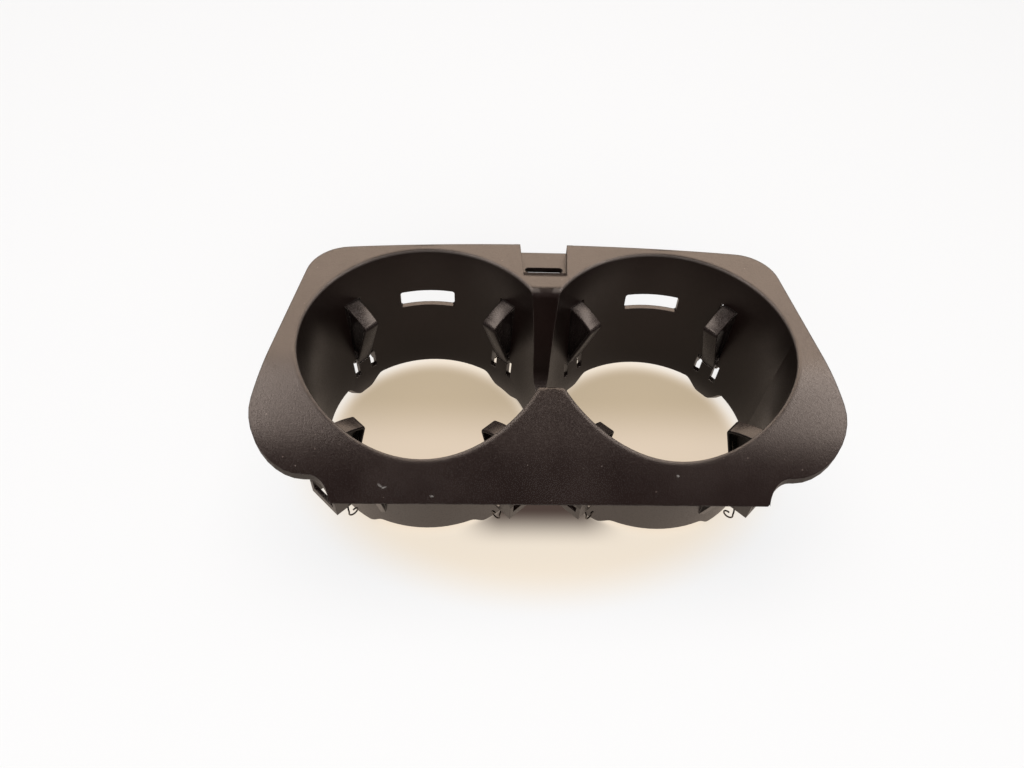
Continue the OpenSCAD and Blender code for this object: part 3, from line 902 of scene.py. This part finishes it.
def finger_blank(sizes):
    """One finger in its own axes, drilled, rounded and with its stops."""
    body = finger_body(sizes)
    bpy.ops.object.select_all(action="DESELECT")
    bpy.ops.mesh.primitive_cylinder_add(
        vertices=DRILL_SIDES, radius=sizes.bore, depth=sizes.width * 2, rotation=(math.pi / 2, 0, 0)
    )
    drill = bpy.context.active_object
    modifier(body, "BOOLEAN", operation="DIFFERENCE", solver="EXACT", object=drill)
    drop(drill)
    modifier(body, "BEVEL", width=sizes.edge, use_clamp_overlap=False, **FINGER_BEVEL)
    stop = finger_stop(sizes)
    modifier(stop, "BEVEL", width=sizes.edge, **FINGER_BEVEL)
    join(body, stop)
    smooth(body, 40)
    return body


class HOLDER_OT_fingers(bpy.types.Operator):
    """Model one finger and set a copy in each pocket"""

    bl_idname = "holder.fingers"
    bl_label = "Fingers"

    def execute(self, context):
        blank = finger_blank(settings().fingers)
        for pocket in POCKETS:
            finger = copy_of(blank, "sprung_finger_" + pocket["name"])
            set_place(finger, pocket_matrix(pocket))
            paint(finger, materials()["finger"])
            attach(finger, "finger_" + pocket["name"])
            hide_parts("finger_" + pocket["name"])
        drop(blank)
        return {"FINISHED"}


# Pins and springs

PIN_SIDES = 40
PIN_BEVEL = {"segments": 4, "limit_method": "ANGLE", "angle_limit": math.radians(40)}


class HOLDER_OT_pins(bpy.types.Operator):
    """Model one pivot pin and set a copy in each pocket"""

    bl_idname = "holder.pins"
    bl_label = "Pins"

    def execute(self, context):
        sizes = settings().springs
        low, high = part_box("pin_" + POCKETS[0]["name"])
        axis = Vector(POCKETS[0]["joint"]["axis"])
        shadow = 2 * sizes.pin * abs(axis.y)
        length = ((high - low).x - shadow) / abs(axis.x)
        bpy.ops.object.select_all(action="DESELECT")
        bpy.ops.mesh.primitive_cylinder_add(
            vertices=PIN_SIDES, radius=sizes.pin, depth=length, rotation=(math.pi / 2, 0, 0)
        )
        blank = bpy.context.active_object
        bpy.ops.object.transform_apply(location=False, rotation=True, scale=False)
        modifier(blank, "BEVEL", width=sizes.pin_round, **PIN_BEVEL)
        smooth(blank)
        for pocket in POCKETS:
            pin = copy_of(blank, "pivot_pin_" + pocket["name"])
            set_place(pin, pocket_matrix(pocket))
            paint(pin, materials()["pin"])
            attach(pin, "housing")
            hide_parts("pin_" + pocket["name"])
        drop(blank)
        return {"FINISHED"}


# The coil has two turns and as much more as brings it to the angle where the tail leaves it, in degrees
COIL_TURNS = 2
TAIL_ANGLE = 225.0
# Shares of the coil: the leg's length ends in it after the tail's has begun, so that no gap opens
LEG_COIL_END = 0.62
TAIL_COIL_START = 0.45
# Where the leg slants in to its recess: height above the coil, length, and the points on it in mm
LEG_ENTRY = 4.7 * MM
LEG_SLANT = 3 * MM
LEG_POINTS = (4, 3, 2, 1, 0)
# The tail: points from the end of the coil in mm, out, up and across, and the eye that they lead to
TAIL_POINTS = ((1.2, -1.2, 0), (1.9, -1.85, 0.3), (2.6, -2.5, 1.2), (3.1, -3.0, 2.0))
EYE_ACROSS = 7.5 * MM
EYE_CENTRE = (0.4 * MM, -6 * MM)
EYE_FROM, EYE_TO, EYE_STEPS = 30, -278, 14
EYE_PITCH = 0.05 * MM


def finger_slope(fingers):
    """Direction of a finger's inner face, from its heel up to its tip."""
    return Vector((fingers.heel_in - fingers.tip_in, fingers.tip_up - fingers.heel_up)).normalized()


def coil_path(sizes, first, last, steps=96):
    """Points along the coil between two shares of its turns."""
    slope = finger_slope(settings().fingers)
    leg_angle = 90 + math.degrees(math.atan2(slope.y, slope.x))
    coil_turn = 360 * COIL_TURNS + TAIL_ANGLE - leg_angle
    path = []
    for i in range(steps + 1):
        share = first + (last - first) * i / steps
        turn = math.radians(leg_angle + coil_turn * share)
        side = sizes.coil_near + (sizes.coil_far - sizes.coil_near) * share
        path.append(Vector((sizes.coil * math.cos(turn), side, sizes.coil * math.sin(turn))))
    return path


def leg_path(sizes, fingers):
    """The leg that lies in the finger's recess, from its end down to the coil."""
    way = finger_slope(fingers)
    start = coil_path(sizes, 0, 0, 1)[0]
    rise = LEG_ENTRY / way.y
    slant = [rise + point * MM for point in LEG_POINTS]
    path = []
    for along in (sizes.leg, sizes.leg * 0.7, *slant, rise / 2):
        share = min(1, max(0, (along - rise) / LEG_SLANT))
        side = sizes.coil_near + (sizes.leg_near - sizes.coil_near) * share
        path.append(Vector((start.x + way.x * along, side, start.z + way.y * along)))
    return smoothed(path)


def tail_path(sizes):
    """The tail that passes under the cheek and ends in an open eye."""
    start = coil_path(sizes, 1, 1, 1)[0]
    bend = [
        Vector((start.x + out * MM, start.y + across * MM, start.z + up * MM))
        for out, up, across in TAIL_POINTS
    ]
    ring = arc(EYE_CENTRE, sizes.eye, EYE_FROM, EYE_TO, EYE_STEPS)
    eye = [Vector((p.x, EYE_ACROSS + EYE_PITCH * i, p.y)) for i, p in enumerate(ring)]
    return smoothed([start, *bend, *eye])


class HOLDER_OT_springs(bpy.types.Operator):
    """Bend a spring in two lengths for each pocket: the leg's end of the coil moves with its finger"""

    bl_idname = "holder.springs"
    bl_label = "Springs"

    def execute(self, context):
        sizes = settings().springs
        leg = leg_path(sizes, settings().fingers) + coil_path(sizes, 0, LEG_COIL_END)[1:]
        tail = coil_path(sizes, TAIL_COIL_START, 1) + tail_path(sizes)[1:]
        for part, path in (("leg", leg), ("tail", tail)):
            blank = wire_piece("spring_" + part, path, sizes.wire)
            smooth(blank, 60)
            for pocket in POCKETS:
                wire = copy_of(blank, f"spring_{part}_{pocket['name']}")
                set_place(wire, pocket_matrix(pocket))
                paint(wire, materials()["spring"])
                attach(wire, "finger_" + pocket["name"] if part == "leg" else "housing")
                if part == "tail":
                    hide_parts("spring_" + pocket["name"])
            drop(blank)
        return {"FINISHED"}


class HOLDER_OT_moulding(bpy.types.Operator):
    """Finish the moulding: grain, edges paler from rubbing and a painted highlight, a painted rim
    highlight, scuffs and dust
    """

    bl_idname = "holder.moulding"
    bl_label = "Moulding"

    def execute(self, context):
        paint(frame["nodes"]["housing"], materials()["moulding"])
        return {"FINISHED"}


# Stage


TABLE_SIZE = 8

# The lamps: name, power, place, aim, width and length, colour, and the kind of ray that misses them
HOLDER_MIDDLE = (0, 0, 0.05)
FLOOR_MIDDLE = (0, 0, 0)
WARM, WARMEST = (1, 0.84, 0.74), (1, 0.77, 0.6)
LAMPS = (
    ("Back softbox", "back_light", (0.03, 0.69, 0.63), HOLDER_MIDDLE, (1.15, 0.6), WARMEST, "diffuse"),
    ("Left softbox", "left_light", (-0.44, 0.03, 0.89), HOLDER_MIDDLE, (0.85, 0.27), WARM, "diffuse"),
    ("Right softbox", "right_light", (0.54, 0.06, 0.83), HOLDER_MIDDLE, (0.9, 0.3), WARM, "diffuse"),
    ("Top softbox", "top_light", (-0.05, 0.25, 1.0), FLOOR_MIDDLE, (1.0, 0.8), (1, 0.94, 0.88), "glossy"),
    ("Front softbox", "front_light", (0, -0.9, 0.6), FLOOR_MIDDLE, (1.2, 0.5), (1, 0.98, 0.96), "glossy"),
)


def add_area_light(name, power, place, aim, size, colour, unseen_by):
    """A soft lamp. It is left out of one kind of ray, so that sheen and shadows can be set apart."""
    lamp = bpy.data.lights.new(name, "AREA")
    lamp.shape = "RECTANGLE"
    lamp.size, lamp.size_y = size
    lamp.energy = power
    lamp.color = colour
    obj = bpy.data.objects.new(name, lamp)
    obj.location = place
    obj.rotation_euler = (Vector(aim) - Vector(place)).to_track_quat("-Z", "Y").to_euler()
    setattr(obj, "visible_" + unseen_by, False)
    bpy.context.scene.collection.objects.link(obj)


# Where the table's painted shade, painted shadows and sheen change, in metres: each pair is where a fade
# starts and where it ends
TABLE_CUP_AXIS = (0.041, 0.003, 0)
TABLE_CUP = (0.042, 0.034)
TABLE_DEEP = (0.0, 0.026)
BETWEEN_FRONT, BETWEEN_BACK, BETWEEN_SIDE = (-0.043, -0.027), (0.03, 0.02), (0.032, 0.014)
TABLE_FAR = (0.07, 0.2)
SHEEN_CUP = (0.03, 0.042)
# The painted warm shade round the holder: what brings it to a circle of about 1, and where it fades
NEAR_SCALE = (10.5, 15.0, 0)
TABLE_NEAR = (1.05, 0.75)
# How much of the cups' painted shade keeps the painted shadow of the strip between them away
BETWEEN_CUPS = (0.4, 0.0)
# Light that the table gives in sheens, close to the holder and in its cups
SHEEN, SHEEN_IN_CUP = 0.6, 0.2
# What the table keeps of its colour where lamps light it, and its grey in sheens from far away
TABLE_DULL, TABLE_FAR_GREY = 0.12, 0.03


def floor_material(look):
    """Pale table, with painted warm shade near the holder and painted shade and shadows in and between its
    cups, lifted to white for the camera and in sheens.
    """
    material, n, shader = new_material("Pale table")
    place = n.add("ShaderNodeTexCoord").outputs["Object"]
    path = n.add("ShaderNodeLightPath").outputs
    glossy = path["Is Glossy Ray"]
    split = n.split(place)
    away = n.vector("LENGTH", place).outputs["Value"]
    far = n.span(away, *TABLE_FAR)
    from_cup = n.cup_distance(split, TABLE_CUP_AXIS)
    in_cup = n.span(from_cup, *TABLE_CUP)
    squeezed = n.vector("MULTIPLY", place, NEAR_SCALE).outputs["Vector"]
    around = n.vector("LENGTH", squeezed).outputs["Value"]
    # Masks of the painted shadow in the strip between the cups
    ahead = n.times(n.span(split["Y"], *BETWEEN_FRONT), n.span(split["Y"], *BETWEEN_BACK))
    aside = n.times(n.span(n.math("ABSOLUTE", split["X"]), *BETWEEN_SIDE), n.span(in_cup, *BETWEEN_CUPS))
    # Painted warm shade round the holder
    tone = n.mix(n.span(around, *TABLE_NEAR), rgba(look.floor), rgba(look.floor_near_painted_shade))
    # Painted shade in the cups
    tone = n.mix(in_cup, tone, rgba(look.floor_cup_painted_shade))
    # Painted shadow at the back of each cup
    tone = n.mix(n.times(in_cup, n.span(split["Y"], *TABLE_DEEP)), tone, rgba(look.floor_deep_painted_shadow))
    # Painted shadow between the cups
    tone = n.mix(n.times(ahead, aside), tone, rgba(look.floor_between_painted_shadow))
    # Painted glow that the table gives only to reflections, strong near the holder and weaker in its cups
    sheen = n.times(n.span(away, *TABLE_FAR, SHEEN, 0.0), n.span(from_cup, *SHEEN_CUP, SHEEN_IN_CUP, 1.0))
    seen = n.math("MAXIMUM", path["Is Camera Ray"], path["Is Transmission Ray"])
    dull = n.mix(n.times(glossy, far), tone, grey(TABLE_FAR_GREY))
    set_shader(
        n, shader, Base_Color=n.mix(1.0, dull, grey(TABLE_DULL), "MULTIPLY"),
        Emission_Color=n.mix(glossy, tone, rgba(look.floor_sheen)),
        Emission_Strength=n.plus(n.times(seen, look.floor_glow), n.times(glossy, sheen)),
        Roughness=0.9, Specular_IOR_Level=0.1,
    )
    return material


SKY_SHEEN_COLOUR = (1, 0.72, 0.66)
SKY_SHEEN, SKY_LIGHT = 0.1, 0.33


def sky():
    """White to the camera, dim and warm in reflections, and a soft grey as a source of light."""
    world = bpy.data.worlds.new("Soft room")
    bpy.context.scene.world = world
    world.use_nodes = True
    n = Nodes(world.node_tree)
    path = n.add("ShaderNodeLightPath").outputs
    background = world.node_tree.nodes["Background"].inputs
    shown = n.math("MAXIMUM", path["Is Camera Ray"], path["Is Transmission Ray"])
    sheen = n.times(path["Is Glossy Ray"], SKY_SHEEN)
    soft = n.times(path["Is Diffuse Ray"], SKY_LIGHT)
    n.feed(background["Color"], n.mix(path["Is Glossy Ray"], grey(1.0), rgba(SKY_SHEEN_COLOUR)))
    n.feed(background["Strength"], n.math("MAXIMUM", n.math("MAXIMUM", shown, sheen), soft))


# The camera, solved from the photo: its place in metres, its angles in radians, and its focal length
# as a share of the picture's width, both in pixels
CAMERA_PLACE = Vector((-0.0229, -0.1753, 0.2533))
CAMERA_YAW, CAMERA_PITCH, CAMERA_ROLL = 0.0645, 0.883, 0.0635
FOCAL_SHARE = 788.8 / 1024
SENSOR_MM = 36
NEAR_CLIP = 0.01


def add_camera():
    yaw, pitch, roll = CAMERA_YAW, CAMERA_PITCH, CAMERA_ROLL
    ahead = Vector((math.sin(yaw) * math.cos(pitch), math.cos(yaw) * math.cos(pitch), -math.sin(pitch)))
    level = Vector((math.cos(yaw), -math.sin(yaw), 0))
    raised = level.cross(ahead)
    right = level * math.cos(roll) + raised * math.sin(roll)
    up = raised * math.cos(roll) - level * math.sin(roll)
    data = bpy.data.cameras.new("Camera")
    data.sensor_width = SENSOR_MM
    data.lens = SENSOR_MM * FOCAL_SHARE
    data.clip_start = NEAR_CLIP
    camera = bpy.data.objects.new("Camera", data)
    turned = Matrix((right, up, -ahead)).transposed().to_4x4()
    camera.matrix_world = Matrix.Translation(CAMERA_PLACE) @ turned
    bpy.context.scene.collection.objects.link(camera)
    bpy.context.scene.camera = camera


class HOLDER_OT_stage(bpy.types.Operator):
    """Set the floor, the soft light and the camera"""

    bl_idname = "holder.stage"
    bl_label = "Stage"

    def execute(self, context):
        look = settings().stage
        bpy.ops.object.select_all(action="DESELECT")
        bpy.ops.mesh.primitive_plane_add(size=TABLE_SIZE, location=FLOOR_MIDDLE)
        floor = bpy.context.active_object
        floor.name = "table_top"
        paint(floor, floor_material(look))
        for name, power, *rest in LAMPS:
            add_area_light(name, getattr(look, power), *rest)
        sky()
        add_camera()
        context.scene.view_settings.view_transform = "Standard"
        return {"FINISHED"}


class HolderSettings(bpy.types.PropertyGroup):
    """Everything about the cup holder that a user may change."""

    fingers: PointerProperty(type=FingerSizes)
    springs: PointerProperty(type=SpringSizes)
    finish: PointerProperty(type=HolderFinish)
    stage: PointerProperty(type=StageLook)


STEPS = (HOLDER_OT_moulding, HOLDER_OT_fingers, HOLDER_OT_pins, HOLDER_OT_springs, HOLDER_OT_stage)


class HOLDER_PT_panel(bpy.types.Panel):
    """Steps and sizes of the cup holder"""

    bl_label = "Cup Holder"
    bl_space_type = "VIEW_3D"
    bl_region_type = "UI"
    bl_category = "Cup Holder"

    def draw(self, context):
        for step in STEPS:
            self.layout.operator(step.bl_idname)
        for group in (settings().fingers, settings().springs, settings().finish, settings().stage):
            box = self.layout.box()
            for key in group.__annotations__:
                box.prop(group, key)


CLASSES = (FingerSizes, SpringSizes, HolderFinish, StageLook, HolderSettings, *STEPS, HOLDER_PT_panel)


def register():
    for each in CLASSES:
        bpy.utils.register_class(each)
    bpy.types.Scene.cup_holder = PointerProperty(type=HolderSettings)


def unregister():
    del bpy.types.Scene.cup_holder
    for each in reversed(CLASSES):
        bpy.utils.unregister_class(each)


def main():
    register()
    bpy.ops.object.select_all(action="DESELECT")
    bpy.ops.holder.moulding()
    bpy.ops.holder.fingers()
    bpy.ops.holder.pins()
    bpy.ops.holder.springs()
    bpy.ops.holder.stage()


if __name__ == "__main__":
    main()
